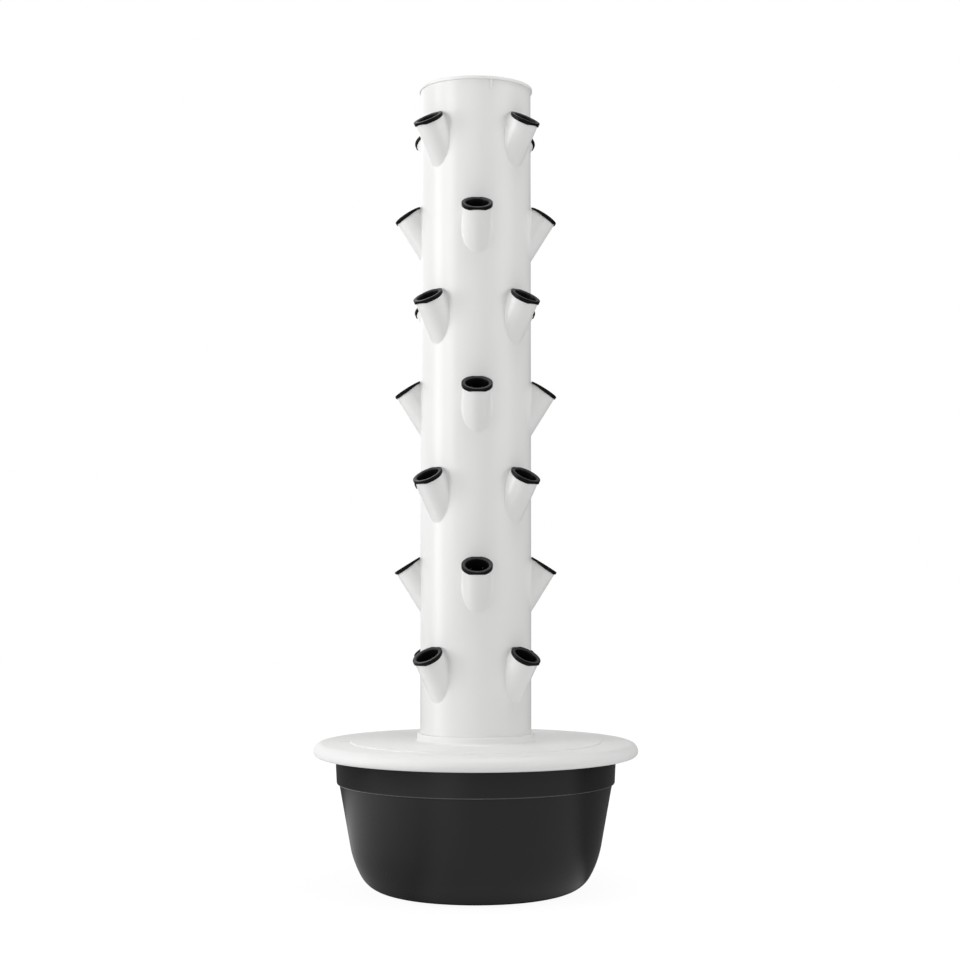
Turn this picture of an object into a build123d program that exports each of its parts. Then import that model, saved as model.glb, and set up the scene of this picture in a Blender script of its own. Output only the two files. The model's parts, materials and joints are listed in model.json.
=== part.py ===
from build123d import *
import math
import os

# A hydroponic tower. A white pipe column carries seven rows of four slanted planting mouths, each row
# turned by half a step, and a black net cup hangs in every mouth. The column stands in a socket under the
# round white lid of a black tank. A pump on the tank's floor lifts water up a riser to a drip tray under
# the cap. Millimetres, +Z up. The origin is the centre of the tank's foot, on the floor. The front looks
# towards -Y.

# Tank: its outer wall, each radius set in from the one above it
TANK_HEIGHT = 206.8
TANK_WALL = 3.5
BAND_TOP_RADIUS = 202.3
BAND_TAPER = 2.9
BAND_LEDGE = 3.5
BAND_Z = 151.8
BAND_EDGE_ROUND = 2.0
WALL_TAPER = 15.8
WALL_FOOT_Z = 64.5
SHOULDER_INSET = 15.6
SHOULDER_Z = 21.4
FOOT_INSET = 35.5
FOOT_RING_WIDTH = 12.0
PUSH_UP = 3.0
TANK_LIP_WIDTH = 4.0
TANK_LIP_HEIGHT = 6.0

# Lid: a shell with a rolled edge, a raised middle, a collar round the column, a ring for the socket and a
# skirt that finds the tank
LID_OVERHANG = 26.7
LID_WALL = 3.0
LID_EDGE_TOP_ROUND = 12.0
LID_EDGE_LOW_ROUND = 7.5
LID_BRIM_WIDTH = 53.0
LID_MIDDLE_RISE = 2.0
LID_MIDDLE_ROUND = 1.2
SKIRT_DEPTH = 12.0
SKIRT_CLEARANCE = 0.8
COLLAR_WALL = 4.0
COLLAR_RISE = 11.0
COLLAR_ROUND = 1.5
COLLAR_FOOT_ROUND = 3.0
SOCKET_RING_WALL = 3.0
SOCKET_RING_DEPTH = 12.0
RIB_ANGLES = (0, 45, 135, 180, 225, 270, 315)
RIB_WIDTH = 2.5
RIB_DEPTH = 8.0

# Socket: the drained cup under the lid that the column stands in
SOCKET_DEPTH = 35.0
SOCKET_FLOOR = 3.0
DRAIN_COUNT = 8
DRAIN_LENGTH = 22.0
DRAIN_WIDTH = 9.0
DRAIN_RADIUS = 52.0

# Filling hole behind the column, its plug and the plug's ring
FILL_HOLE = 64.0
PLUG_CLEARANCE = 0.4
PLUG_FLANGE_WIDTH = 5.0
PLUG_FLANGE = 3.0
PLUG_DEPTH = 16.0
PLUG_WALL = 2.5
PLUG_GRIP_WIDTH = 6.0
PLUG_RING = 2.2
PLUG_RING_SINK = 1.9

# Cable grommet beside the filling hole, turned from it about the column
GROMMET_HOLE = 16.0
GROMMET_ANGLE = 27.4
GROMMET_LIP = 2.0
GROMMET_BORE = 7.0
GROMMET_CLEARANCE = 0.15

# Column and its planting mouths
PIPE_OD = 160.0
PIPE_WALL = 4.0
PIPE_CLEARANCE = 0.3
COLUMN_TOP_Z = 1154.1
ROWS = 7
MOUTHS_PER_ROW = 4
LOWEST_MOUTH_RISE = 127.8
HIGHEST_MOUTH_DROP = 56.0
MOUTH_REACH = 97.0
MOUTH_LEAN = 32.0
MOUTH_OD = 41.0
MOUTH_BORE = 36.0
MOUTH_BLEND = 2.5

# Net cups
CUP_CLEARANCE = 0.5
CUP_DEPTH = 48.0
CUP_BOTTOM_DIAMETER = 26.0
CUP_WALL = 1.5
CUP_FLOOR = 2.0
CUP_FLANGE_DIAMETER = 43.6
CUP_FLANGE = 3.0
CUP_FLANGE_BEVEL = 0.6
CUP_CORNER_ROUND = 1.2
CUP_PIPE_GAP = 0.5
CUP_LIP_REACH = 22.3
CUP_LIP_WIDTH = 21.0
CUP_SLOTS = 6
CUP_SLOT_WIDTH = 3.2
CUP_SLOT_TOP = 12.0
CUP_SLOT_BOTTOM = 44.0
CUP_FLOOR_SLOTS = 3
CUP_FLOOR_SLOT_LENGTH = 17.0
CUP_FLOOR_SLOT_WIDTH = 2.6

# Cap on the column
CAP_OVERHANG = 2.3
CAP_THICKNESS = 4.2
CAP_EDGE_ROUND = 1.0
CAP_SKIRT_DEPTH = 14.0
CAP_SKIRT_WALL = 2.5
CAP_CLIPS = 3
CAP_CLIP_ANGLE = -75.4
CAP_CLIP_DIAMETER = 3.0
CAP_CLIP_LENGTH = 13.0
CAP_CLIP_CLEARANCE = 0.3

# Drip tray under the cap and the ring that carries it
TRAY_DROP = 36.0
TRAY_RING_HEIGHT = 5.0
TRAY_RING_WIDTH = 6.0
GLUE_GAP = 0.1
TRAY_CLEARANCE = 0.4
TRAY_HEIGHT = 12.0
TRAY_WALL = 2.0
TRAY_SOCKET_DEPTH = 14.0
TRAY_SOCKET_WALL = 2.5
DRIP_HOLES = 24
DRIP_HOLE = 3.0

# Riser
RISER_OD = 20.0
RISER_WALL = 2.0
RISER_CLEARANCE = 0.3
COUPLING_LENGTH = 44.0
COUPLING_WALL = 2.5
COUPLING_STOP = 2.0

# Pump on the tank's floor, with its rotor across the tower's axis
PUMP_WIDTH = 48.0
PUMP_LENGTH = 54.0
PUMP_ROUND = 6.0
PUMP_FOOT_HEIGHT = 9.0
PUMP_FOOT_DIAMETER = 18.0
PUMP_FOOT_NECK = 8.0
PUMP_FOOT_INSET = 10.0
GLAND_DIAMETER = 12.0
GLAND_LENGTH = 9.0
GLAND_BORE = 6.0
CHAMBER_DIAMETER = 38.0
CHAMBER_WALL = 4.0
CHAMBER_DEPTH = 18.0
INLET_DIAMETER = 18.0
SPIDER_ARMS = 3
SPIDER_WIDTH = 2.5
SPIGOT_WALL = 2.0
SPIGOT_LENGTH = 24.0
ROTOR_DIAMETER = 20.0
ROTOR_LENGTH = 38.0
ROTOR_GAP = 1.2
IMPELLER_DIAMETER = 33.0
IMPELLER_PLATE = 2.0
BLADES = 6
BLADE_HEIGHT = 6.0
BLADE_WIDTH = 1.8
SHAFT_DIAMETER = 3.0
SHAFT_CLEARANCE = 0.1
BUSH_DIAMETER = 8.0
BUSH_LENGTH = 5.0
STRAINER_DEPTH = 20.0
STRAINER_WALL = 2.0
STRAINER_SLOTS = 12
STRAINER_SLOT_WIDTH = 3.0
DIAL_DIAMETER = 32.0
DIAL_THICKNESS = 3.0
DIAL_CLEARANCE = 0.3
DIAL_HOLES = 4
DIAL_HOLE = 6.0
DIAL_HOLE_RADIUS = 9.5
DIAL_PIN = 6.0
DIAL_PIN_HEAD = 9.0
DIAL_TAB_WIDTH = 5.0
DIAL_TAB_REACH = 6.0

# Places that follow from the sizes above
tank_floor_z = PUSH_UP + TANK_WALL
band_low_radius = BAND_TOP_RADIUS - BAND_TAPER
wall_top_radius = band_low_radius - BAND_LEDGE
wall_foot_radius = wall_top_radius - WALL_TAPER
shoulder_radius = wall_foot_radius - SHOULDER_INSET
foot_radius = shoulder_radius - FOOT_INSET
lid_radius = BAND_TOP_RADIUS + TANK_LIP_WIDTH + LID_OVERHANG
lid_middle_radius = lid_radius - LID_BRIM_WIDTH
lid_under_z = TANK_HEIGHT
lid_middle_under_z = lid_under_z + LID_MIDDLE_RISE
lid_brim_z = lid_under_z + LID_WALL
lid_top_z = lid_brim_z + LID_MIDDLE_RISE
lid_low_z = lid_brim_z - LID_EDGE_TOP_ROUND - LID_EDGE_LOW_ROUND
collar_top_z = lid_top_z + COLLAR_RISE
column_foot_z = lid_under_z - SOCKET_DEPTH
socket_foot_z = column_foot_z - SOCKET_FLOOR
pipe_radius = PIPE_OD / 2
pipe_bore_radius = pipe_radius - PIPE_WALL
collar_bore_radius = pipe_radius + PIPE_CLEARANCE
collar_radius = collar_bore_radius + COLLAR_WALL
socket_ring_bore = collar_radius + GLUE_GAP
socket_ring_radius = socket_ring_bore + SOCKET_RING_WALL
# The filling hole lies halfway between the collar and the edge of the lid's middle
fill_y = (collar_radius + lid_middle_radius) / 2
grommet_x = -fill_y * math.sin(math.radians(GROMMET_ANGLE))
grommet_y = fill_y * math.cos(math.radians(GROMMET_ANGLE))
riser_radius = RISER_OD / 2
riser_bore_radius = riser_radius - RISER_WALL
pump_half = PUMP_WIDTH / 2
pump_axis_z = tank_floor_z + PUMP_FOOT_HEIGHT + pump_half
chamber_front_y = -(CHAMBER_DEPTH / 2 + CHAMBER_WALL)
pump_front_y = CHAMBER_DEPTH / 2
chamber_radius = CHAMBER_DIAMETER / 2
volute_radius = chamber_radius + CHAMBER_WALL
spigot_radius = riser_bore_radius - RISER_CLEARANCE
spigot_top_z = pump_axis_z + volute_radius + SPIGOT_LENGTH
tray_ring_z = COLUMN_TOP_Z - TRAY_DROP
tray_floor_z = tray_ring_z + TRAY_RING_HEIGHT
tray_radius = pipe_bore_radius - TRAY_CLEARANCE
riser_foot_z = pump_axis_z + max(pump_half, volute_radius) + RISER_CLEARANCE
riser_split_z = (riser_foot_z + tray_floor_z) / 2
# The rows share the column evenly between the lid and the cap
lowest_mouth_z = lid_under_z + LOWEST_MOUTH_RISE
row_pitch = (COLUMN_TOP_Z - HIGHEST_MOUTH_DROP - lowest_mouth_z) / (ROWS - 1)
lean_sine = math.sin(math.radians(MOUTH_LEAN))
lean_cosine = math.cos(math.radians(MOUTH_LEAN))
# Far enough down its own axis for a mouth's low side to come through the pipe's wall
mouth_low_side = MOUTH_OD / 2 * lean_cosine / lean_sine
mouth_length = (MOUTH_REACH - pipe_bore_radius) / lean_sine + mouth_low_side
mouth_step = 360 / MOUTHS_PER_ROW


def mouth_plane(angle, z, lift=0.0):
    """The plane of a mouth's rim at an angle round the column: its Z runs out along the mouth, its X
    outwards and down along the rim. lift moves it along the mouth."""
    turn = math.radians(angle)
    across = Vector(math.cos(turn), math.sin(turn), 0)
    axis = across * lean_sine + Vector(0, 0, lean_cosine)
    down = across * lean_cosine - Vector(0, 0, lean_sine)
    return Plane(origin=across * MOUTH_REACH + Vector(0, 0, z) + axis * lift, x_dir=down, z_dir=axis)


def row_angles(row):
    """Angles of a row's mouths: the lowest row stands between front and sides, the next half a step on."""
    start = mouth_step / 2 * ((row + 1) % 2)
    return [start + mouth_step * port for port in range(MOUTHS_PER_ROW)]


def row_z(row):
    return lowest_mouth_z + row_pitch * row


def band_radius(z):
    """Outer radius of the tank's upper band, which flares evenly from its ledge to the top."""
    share = (z - BAND_Z) / (TANK_HEIGHT - BAND_Z)
    return band_low_radius + share * BAND_TAPER


def save(piece, name):
    piece.label = name
    export_step(piece, f"parts/{name}.step")


os.makedirs("parts", exist_ok=True)

# Tank: a revolved wall that curves in over a shoulder to its foot, with a flared band and a lip at its top
with BuildPart() as tank:
    with BuildSketch(Plane.XZ):
        with BuildLine():
            wall_low = (wall_foot_radius, WALL_FOOT_Z)
            wall_high = (wall_top_radius, BAND_Z)
            shoulder = (shoulder_radius, SHOULDER_Z)
            lip_z = TANK_HEIGHT - TANK_LIP_HEIGHT
            wall_slope = (wall_foot_radius - wall_top_radius, WALL_FOOT_Z - BAND_Z)
            Polyline((0, 0), (foot_radius, 0))
            haunch = TangentArc(wall_low, shoulder, tangent=wall_slope)
            TangentArc(shoulder, (foot_radius, 0), tangent=haunch % 1)
            Polyline(
                wall_low,
                wall_high,
                (band_radius(BAND_Z), BAND_Z),
                (band_radius(lip_z), lip_z),
                (BAND_TOP_RADIUS + TANK_LIP_WIDTH, lip_z),
                (BAND_TOP_RADIUS + TANK_LIP_WIDTH, TANK_HEIGHT),
                (0, TANK_HEIGHT),
                (0, 0),
            )
        make_face()
    revolve(axis=Axis.Z)
    with BuildSketch(Plane.XZ):
        with BuildLine():
            inner_low = (wall_foot_radius - TANK_WALL, WALL_FOOT_Z)
            inner_high = (wall_top_radius - TANK_WALL, BAND_Z)
            inner_shoulder = (shoulder_radius - TANK_WALL, SHOULDER_Z + TANK_WALL)
            Polyline((0, tank_floor_z), (foot_radius, tank_floor_z))
            inner_haunch = TangentArc(inner_low, inner_shoulder, tangent=wall_slope)
            TangentArc(inner_shoulder, (foot_radius, tank_floor_z), tangent=inner_haunch % 1)
            Polyline(
                inner_low,
                inner_high,
                (band_radius(BAND_Z) - TANK_WALL, BAND_Z + TANK_WALL),
                (BAND_TOP_RADIUS - TANK_WALL, TANK_HEIGHT),
                (0, TANK_HEIGHT),
                (0, tank_floor_z),
            )
        make_face()
    revolve(axis=Axis.Z, mode=Mode.SUBTRACT)
    with BuildSketch(Plane.XY):
        Circle(foot_radius - FOOT_RING_WIDTH)
    extrude(amount=PUSH_UP, taper=45, mode=Mode.SUBTRACT)
    ledge_edges = tank.edges().filter_by(GeomType.CIRCLE).filter_by_position(Axis.Z, BAND_Z, BAND_Z)
    fillet(ledge_edges.sort_by(SortBy.RADIUS)[-1], BAND_EDGE_ROUND)
save(tank.part, "tank")

# Lid: the shell's section is revolved, then the collar, ring, skirt and ribs are added and the holes cut
skirt_low_z = lid_under_z - SKIRT_DEPTH
skirt_radius = band_radius(skirt_low_z) - TANK_WALL - SKIRT_CLEARANCE
with BuildPart() as lid:
    with BuildSketch(Plane.XZ):
        with BuildLine():
            brim_start = lid_radius - LID_EDGE_TOP_ROUND
            edge_z = lid_brim_z - LID_EDGE_TOP_ROUND
            roll_start = lid_radius - LID_EDGE_LOW_ROUND
            inner_edge = (lid_radius - LID_WALL, edge_z)
            Polyline(
                (collar_bore_radius, lid_middle_under_z),
                (collar_bore_radius, lid_top_z),
                (lid_middle_radius, lid_top_z),
                (lid_middle_radius, lid_brim_z),
                (brim_start, lid_brim_z),
            )
            RadiusArc((brim_start, lid_brim_z), (lid_radius, edge_z), LID_EDGE_TOP_ROUND)
            RadiusArc((lid_radius, edge_z), (roll_start, lid_low_z), LID_EDGE_LOW_ROUND)
            Line((roll_start, lid_low_z), (roll_start, lid_low_z + LID_WALL))
            RadiusArc((roll_start, lid_low_z + LID_WALL), inner_edge, LID_WALL - LID_EDGE_LOW_ROUND)
            RadiusArc(inner_edge, (brim_start, lid_under_z), LID_WALL - LID_EDGE_TOP_ROUND)
            Polyline(
                (brim_start, lid_under_z),
                (lid_middle_radius - LID_WALL, lid_under_z),
                (lid_middle_radius - LID_WALL, lid_middle_under_z),
                (collar_bore_radius, lid_middle_under_z),
            )
        make_face()
    revolve(axis=Axis.Z)
    with BuildSketch(Plane.XY.offset(lid_middle_under_z)):
        Circle(collar_radius)
        Circle(collar_bore_radius, mode=Mode.SUBTRACT)
    extrude(amount=collar_top_z - lid_middle_under_z)
    with BuildSketch(Plane.XY.offset(lid_middle_under_z)):
        Circle(socket_ring_radius)
        Circle(socket_ring_bore, mode=Mode.SUBTRACT)
    extrude(amount=-SOCKET_RING_DEPTH)
    with BuildSketch(Plane.XY.offset(skirt_low_z)):
        Circle(skirt_radius)
        Circle(skirt_radius - LID_WALL, mode=Mode.SUBTRACT)
    extrude(amount=SKIRT_DEPTH)
    for angle in RIB_ANGLES:
        rib_plane = Plane.XY.offset(lid_under_z - RIB_DEPTH).rotated((0, 0, angle))
        with BuildSketch(rib_plane):
            rib_start = socket_ring_radius - SOCKET_RING_WALL / 2
            rib_length = skirt_radius - LID_WALL / 2 - rib_start
            with Locations((rib_start + rib_length / 2, 0)):
                Rectangle(rib_length, RIB_WIDTH)
        extrude(amount=RIB_DEPTH + LID_MIDDLE_RISE + LID_WALL / 2)
    with BuildSketch(Plane.XY.offset(lid_top_z)):
        with Locations((0, fill_y)):
            Circle(FILL_HOLE / 2)
        with Locations((grommet_x, grommet_y)):
            Circle(GROMMET_HOLE / 2)
    extrude(amount=-LID_WALL - RIB_DEPTH, mode=Mode.SUBTRACT)
    lid_rims = lid.edges().filter_by(GeomType.CIRCLE)
    at_collar = lid_rims.filter_by_position(Axis.Z, collar_top_z, collar_top_z)
    fillet(at_collar.sort_by(SortBy.RADIUS)[-1], COLLAR_ROUND)
    at_top = lid.edges().filter_by(GeomType.CIRCLE).filter_by_position(Axis.Z, lid_top_z, lid_top_z)
    foot_edges = at_top.filter_by(lambda edge: abs(edge.radius - collar_radius) < COLLAR_WALL / 2)
    fillet(foot_edges, COLLAR_FOOT_ROUND)
    at_top = lid.edges().filter_by(GeomType.CIRCLE).filter_by_position(Axis.Z, lid_top_z, lid_top_z)
    fillet(at_top.sort_by(SortBy.RADIUS)[-1], LID_MIDDLE_ROUND)
save(lid.part, "lid")

# Socket: pushed up inside the lid's ring, with drains in its floor and a hole for the riser
with BuildPart() as column_socket:
    with BuildSketch(Plane.XY.offset(socket_foot_z)):
        Circle(collar_radius)
    extrude(amount=lid_middle_under_z - socket_foot_z)
    with BuildSketch(Plane.XY.offset(column_foot_z)):
        Circle(collar_bore_radius)
    extrude(amount=lid_middle_under_z - column_foot_z, mode=Mode.SUBTRACT)
    with BuildSketch(Plane.XY.offset(socket_foot_z)):
        Circle(riser_radius + RISER_CLEARANCE)
        with PolarLocations(DRAIN_RADIUS, DRAIN_COUNT):
            SlotOverall(DRAIN_LENGTH, DRAIN_WIDTH)
    extrude(amount=SOCKET_FLOOR, mode=Mode.SUBTRACT)
save(column_socket.part, "column_socket")

# Filling plug: a flat flanged stopper with a grip bar across its recess and a groove for its ring
plug_radius = FILL_HOLE / 2 - PLUG_CLEARANCE
plug_seat_z = lid_top_z
ring_z = plug_seat_z - LID_WALL / 2
groove_radius = plug_radius - PLUG_RING_SINK
with BuildPart() as fill_plug:
    with BuildSketch(Plane.XY.offset(plug_seat_z)):
        with Locations((0, fill_y)):
            Circle(FILL_HOLE / 2 + PLUG_FLANGE_WIDTH)
    extrude(amount=PLUG_FLANGE)
    fillet(fill_plug.edges().group_by(Axis.Z)[-1], PLUG_FLANGE / 3)
    with BuildSketch(Plane.XY.offset(plug_seat_z)):
        with Locations((0, fill_y)):
            Circle(plug_radius)
    extrude(amount=-PLUG_DEPTH)
    with BuildSketch(Plane.XY.offset(ring_z)):
        with Locations((0, fill_y)):
            Circle(plug_radius)
            Circle(groove_radius, mode=Mode.SUBTRACT)
    extrude(amount=PLUG_RING / 2, both=True, mode=Mode.SUBTRACT)
    with BuildSketch(Plane.XY.offset(plug_seat_z + PLUG_FLANGE)):
        with Locations((0, fill_y)):
            Circle(groove_radius - PLUG_WALL)
            Rectangle(FILL_HOLE, PLUG_GRIP_WIDTH, mode=Mode.SUBTRACT)
    extrude(amount=-PLUG_DEPTH - PLUG_FLANGE + PLUG_WALL, mode=Mode.SUBTRACT)
save(fill_plug.part, "fill_plug")

# Ring of the filling plug, seated in the plug's groove
with BuildPart() as plug_ring:
    with BuildSketch(Plane.XY.offset(ring_z)):
        with Locations((0, fill_y)):
            Circle(plug_radius + PLUG_CLEARANCE / 4)
            Circle(groove_radius + GLUE_GAP, mode=Mode.SUBTRACT)
    extrude(amount=PLUG_RING / 2 - GLUE_GAP, both=True)
    fillet(plug_ring.edges().filter_by(GeomType.CIRCLE).group_by(SortBy.RADIUS)[-1], PLUG_RING / 4)
save(plug_ring.part, "fill_plug_ring")

# Cable grommet: a rubber bush whose groove takes the edge of the lid's hole
with BuildPart() as grommet:
    neck_radius = GROMMET_HOLE / 2 - GROMMET_CLEARANCE
    low_z = lid_top_z - LID_WALL - GROMMET_CLEARANCE
    with BuildSketch(Plane.XY.offset(low_z - GROMMET_LIP)):
        with Locations((grommet_x, grommet_y)):
            Circle(neck_radius + GROMMET_LIP)
    extrude(amount=GROMMET_LIP)
    with BuildSketch(Plane.XY.offset(low_z)):
        with Locations((grommet_x, grommet_y)):
            Circle(neck_radius)
    extrude(amount=lid_top_z - low_z)
    with BuildSketch(Plane.XY.offset(lid_top_z)):
        with Locations((grommet_x, grommet_y)):
            Circle(neck_radius + GROMMET_LIP)
    extrude(amount=GROMMET_LIP)
    fillet(grommet.edges().group_by(Axis.Z)[-1], GROMMET_LIP / 2)
    with BuildSketch(Plane.XY.offset(lid_top_z + GROMMET_LIP)):
        with Locations((grommet_x, grommet_y)):
            Circle(GROMMET_BORE / 2)
    extrude(amount=low_z - lid_top_z - 2 * GROMMET_LIP, mode=Mode.SUBTRACT)
save(grommet.part, "cable_grommet")

# Column pipe, bored through on the slant behind every mouth
with BuildPart() as column_pipe:
    with BuildSketch(Plane.XY.offset(column_foot_z)):
        Circle(pipe_radius)
        Circle(pipe_bore_radius, mode=Mode.SUBTRACT)
    extrude(amount=COLUMN_TOP_Z - column_foot_z)
    for row in range(ROWS):
        for angle in row_angles(row):
            with BuildSketch(mouth_plane(angle, row_z(row))):
                Circle(MOUTH_BORE / 2)
            extrude(amount=-mouth_length, mode=Mode.SUBTRACT)
save(column_pipe.part, "column_pipe")

# Planting mouth: a slanted stub, its foot blended on to the pipe and cut to the pipe's round
with BuildPart() as mouth:
    blank_height = 2 * mouth_length
    with BuildSketch(Plane.XY.offset(-blank_height)):
        Circle(pipe_radius)
    extrude(amount=2 * blank_height)
    with BuildSketch(mouth_plane(0, 0, MOUTH_OD)):
        Circle(MOUTH_OD / 2)
    extrude(amount=-mouth_length - MOUTH_OD)
    plain_types = (GeomType.CIRCLE, GeomType.LINE)
    joint_curve = mouth.edges().filter_by(lambda edge: edge.geom_type not in plain_types)
    fillet(joint_curve, MOUTH_BLEND)
    split(bisect_by=mouth_plane(0, 0), keep=Keep.BOTTOM)
    with BuildSketch(Plane.XY.offset(-blank_height)):
        Circle(pipe_radius)
    extrude(amount=2 * blank_height, mode=Mode.SUBTRACT)
    with BuildSketch(mouth_plane(0, 0)):
        Circle(MOUTH_BORE / 2)
    extrude(amount=-mouth_length, mode=Mode.SUBTRACT)

# Each row of mouths, welded round the pipe
for row in range(ROWS):
    with BuildPart(Plane.XY.offset(row_z(row))) as mouth_row:
        with PolarLocations(0, MOUTHS_PER_ROW, start_angle=row_angles(row)[0]):
            add(mouth.part)
    save(mouth_row.part, f"mouths_row_{row + 1}")

# Net cup, drawn about its own axis with the mouth's rim at Z = 0 and its drip lip towards +X
cup_top_radius = MOUTH_BORE / 2 - CUP_CLEARANCE
cup_bottom_radius = CUP_BOTTOM_DIAMETER / 2
# The flange is cut flat where it comes against the pipe
flange_flat = (MOUTH_REACH - pipe_radius - CUP_PIPE_GAP) / lean_cosine
with BuildPart() as net_cup:
    with BuildSketch() as flange_outline:
        Circle(CUP_FLANGE_DIAMETER / 2)
        with Locations((CUP_LIP_REACH / 2, 0)):
            Rectangle(CUP_LIP_REACH, CUP_LIP_WIDTH)
        with Locations((-flange_flat - CUP_FLANGE_DIAMETER / 2, 0)):
            Rectangle(CUP_FLANGE_DIAMETER, CUP_FLANGE_DIAMETER, mode=Mode.SUBTRACT)
        fillet(flange_outline.vertices(), CUP_CORNER_ROUND)
    extrude(amount=CUP_FLANGE)
    chamfer(net_cup.edges().group_by(Axis.Z)[-1], CUP_FLANGE_BEVEL)
    with BuildSketch(Plane.XZ):
        with BuildLine():
            Polyline(
                (0, 0),
                (cup_top_radius, 0),
                (cup_bottom_radius, -CUP_DEPTH),
                (0, -CUP_DEPTH),
                close=True,
            )
        make_face()
    revolve(axis=Axis.Z)
    with BuildSketch(Plane.XZ):
        with BuildLine():
            Polyline(
                (0, CUP_FLANGE),
                (cup_top_radius - CUP_WALL, CUP_FLANGE),
                (cup_top_radius - CUP_WALL, 0),
                (cup_bottom_radius - CUP_WALL, CUP_FLOOR - CUP_DEPTH),
                (0, CUP_FLOOR - CUP_DEPTH),
                close=True,
            )
        make_face()
    revolve(axis=Axis.Z, mode=Mode.SUBTRACT)
    with PolarLocations(cup_top_radius, CUP_SLOTS, start_angle=180 / CUP_SLOTS):
        with Locations((0, 0, -(CUP_SLOT_TOP + CUP_SLOT_BOTTOM) / 2)):
            Box(cup_top_radius, CUP_SLOT_WIDTH, CUP_SLOT_BOTTOM - CUP_SLOT_TOP, mode=Mode.SUBTRACT)
    with BuildSketch(Plane.XY.offset(-CUP_DEPTH)):
        with PolarLocations(0, CUP_FLOOR_SLOTS):
            Rectangle(CUP_FLOOR_SLOT_LENGTH, CUP_FLOOR_SLOT_WIDTH)
    extrude(amount=CUP_FLOOR, mode=Mode.SUBTRACT)
for row in range(ROWS):
    for port, angle in enumerate(row_angles(row)):
        with BuildPart(mouth_plane(angle, row_z(row))) as placed_cup:
            add(net_cup.part)
        save(placed_cup.part, f"net_cup_r{row + 1}_p{port + 1}")

# Cap: a thin disc with a plug skirt inside the pipe and small clips down its outside
cap_radius = pipe_radius + CAP_OVERHANG
skirt_outer = pipe_bore_radius - PIPE_CLEARANCE
clip_radius = CAP_CLIP_DIAMETER / 2
with BuildPart() as top_cap:
    with BuildSketch(Plane.XY.offset(COLUMN_TOP_Z)):
        Circle(cap_radius)
    extrude(amount=CAP_THICKNESS)
    fillet(top_cap.edges().group_by(Axis.Z)[-1], CAP_EDGE_ROUND)
    with BuildSketch(Plane.XY.offset(COLUMN_TOP_Z)):
        Circle(skirt_outer)
        Circle(skirt_outer - CAP_SKIRT_WALL, mode=Mode.SUBTRACT)
    extrude(amount=-CAP_SKIRT_DEPTH)
    with BuildSketch(Plane.XY.offset(COLUMN_TOP_Z)):
        with PolarLocations(pipe_radius + CAP_CLIP_CLEARANCE, CAP_CLIPS, start_angle=CAP_CLIP_ANGLE):
            Circle(clip_radius)
        Circle(pipe_radius + CAP_CLIP_CLEARANCE, mode=Mode.SUBTRACT)
    extrude(amount=-CAP_CLIP_LENGTH)
save(top_cap.part, "top_cap")

# Ring glued inside the pipe, which carries the drip tray
with BuildPart() as tray_ring:
    with BuildSketch(Plane.XY.offset(tray_ring_z)):
        Circle(pipe_bore_radius - GLUE_GAP)
        Circle(pipe_bore_radius - TRAY_RING_WIDTH, mode=Mode.SUBTRACT)
    extrude(amount=TRAY_RING_HEIGHT)
save(tray_ring.part, "tray_ring")

# Drip tray: a dish with a ring of drip holes and a socket underneath for the riser's end
with BuildPart() as drip_tray:
    socket_bore = riser_radius + RISER_CLEARANCE
    with BuildSketch(Plane.XY.offset(tray_floor_z)):
        Circle(tray_radius)
    extrude(amount=TRAY_HEIGHT)
    with BuildSketch(Plane.XY.offset(tray_floor_z + TRAY_WALL)):
        Circle(tray_radius - TRAY_WALL)
    extrude(amount=TRAY_HEIGHT, mode=Mode.SUBTRACT)
    with BuildSketch(Plane.XY.offset(tray_floor_z)):
        Circle(socket_bore + TRAY_SOCKET_WALL)
        Circle(socket_bore, mode=Mode.SUBTRACT)
    extrude(amount=-TRAY_SOCKET_DEPTH)
    with BuildSketch(Plane.XY.offset(tray_floor_z)):
        Circle(riser_bore_radius)
        with PolarLocations(pipe_bore_radius - TRAY_RING_WIDTH - DRIP_HOLE, DRIP_HOLES):
            Circle(DRIP_HOLE / 2)
    extrude(amount=TRAY_WALL, mode=Mode.SUBTRACT)
save(drip_tray.part, "drip_tray")

# Riser in two lengths with a coupling over the joint
with BuildPart() as riser_lower:
    with BuildSketch(Plane.XY.offset(riser_foot_z)):
        Circle(riser_radius)
        Circle(riser_bore_radius, mode=Mode.SUBTRACT)
    extrude(amount=riser_split_z - COUPLING_STOP / 2 - riser_foot_z)
save(riser_lower.part, "riser_lower")

with BuildPart() as riser_upper:
    with BuildSketch(Plane.XY.offset(riser_split_z + COUPLING_STOP / 2)):
        Circle(riser_radius)
        Circle(riser_bore_radius, mode=Mode.SUBTRACT)
    extrude(amount=tray_floor_z - RISER_CLEARANCE - riser_split_z - COUPLING_STOP / 2)
save(riser_upper.part, "riser_upper")

with BuildPart() as riser_coupling:
    coupling_bore = riser_radius + GLUE_GAP
    with BuildSketch(Plane.XY.offset(riser_split_z)):
        Circle(coupling_bore + COUPLING_WALL)
        Circle(coupling_bore, mode=Mode.SUBTRACT)
    extrude(amount=COUPLING_LENGTH / 2, both=True)
    with BuildSketch(Plane.XY.offset(riser_split_z)):
        Circle(coupling_bore)
        Circle(riser_bore_radius, mode=Mode.SUBTRACT)
    extrude(amount=COUPLING_STOP / 2, both=True)
save(riser_coupling.part, "riser_coupling")

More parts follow.
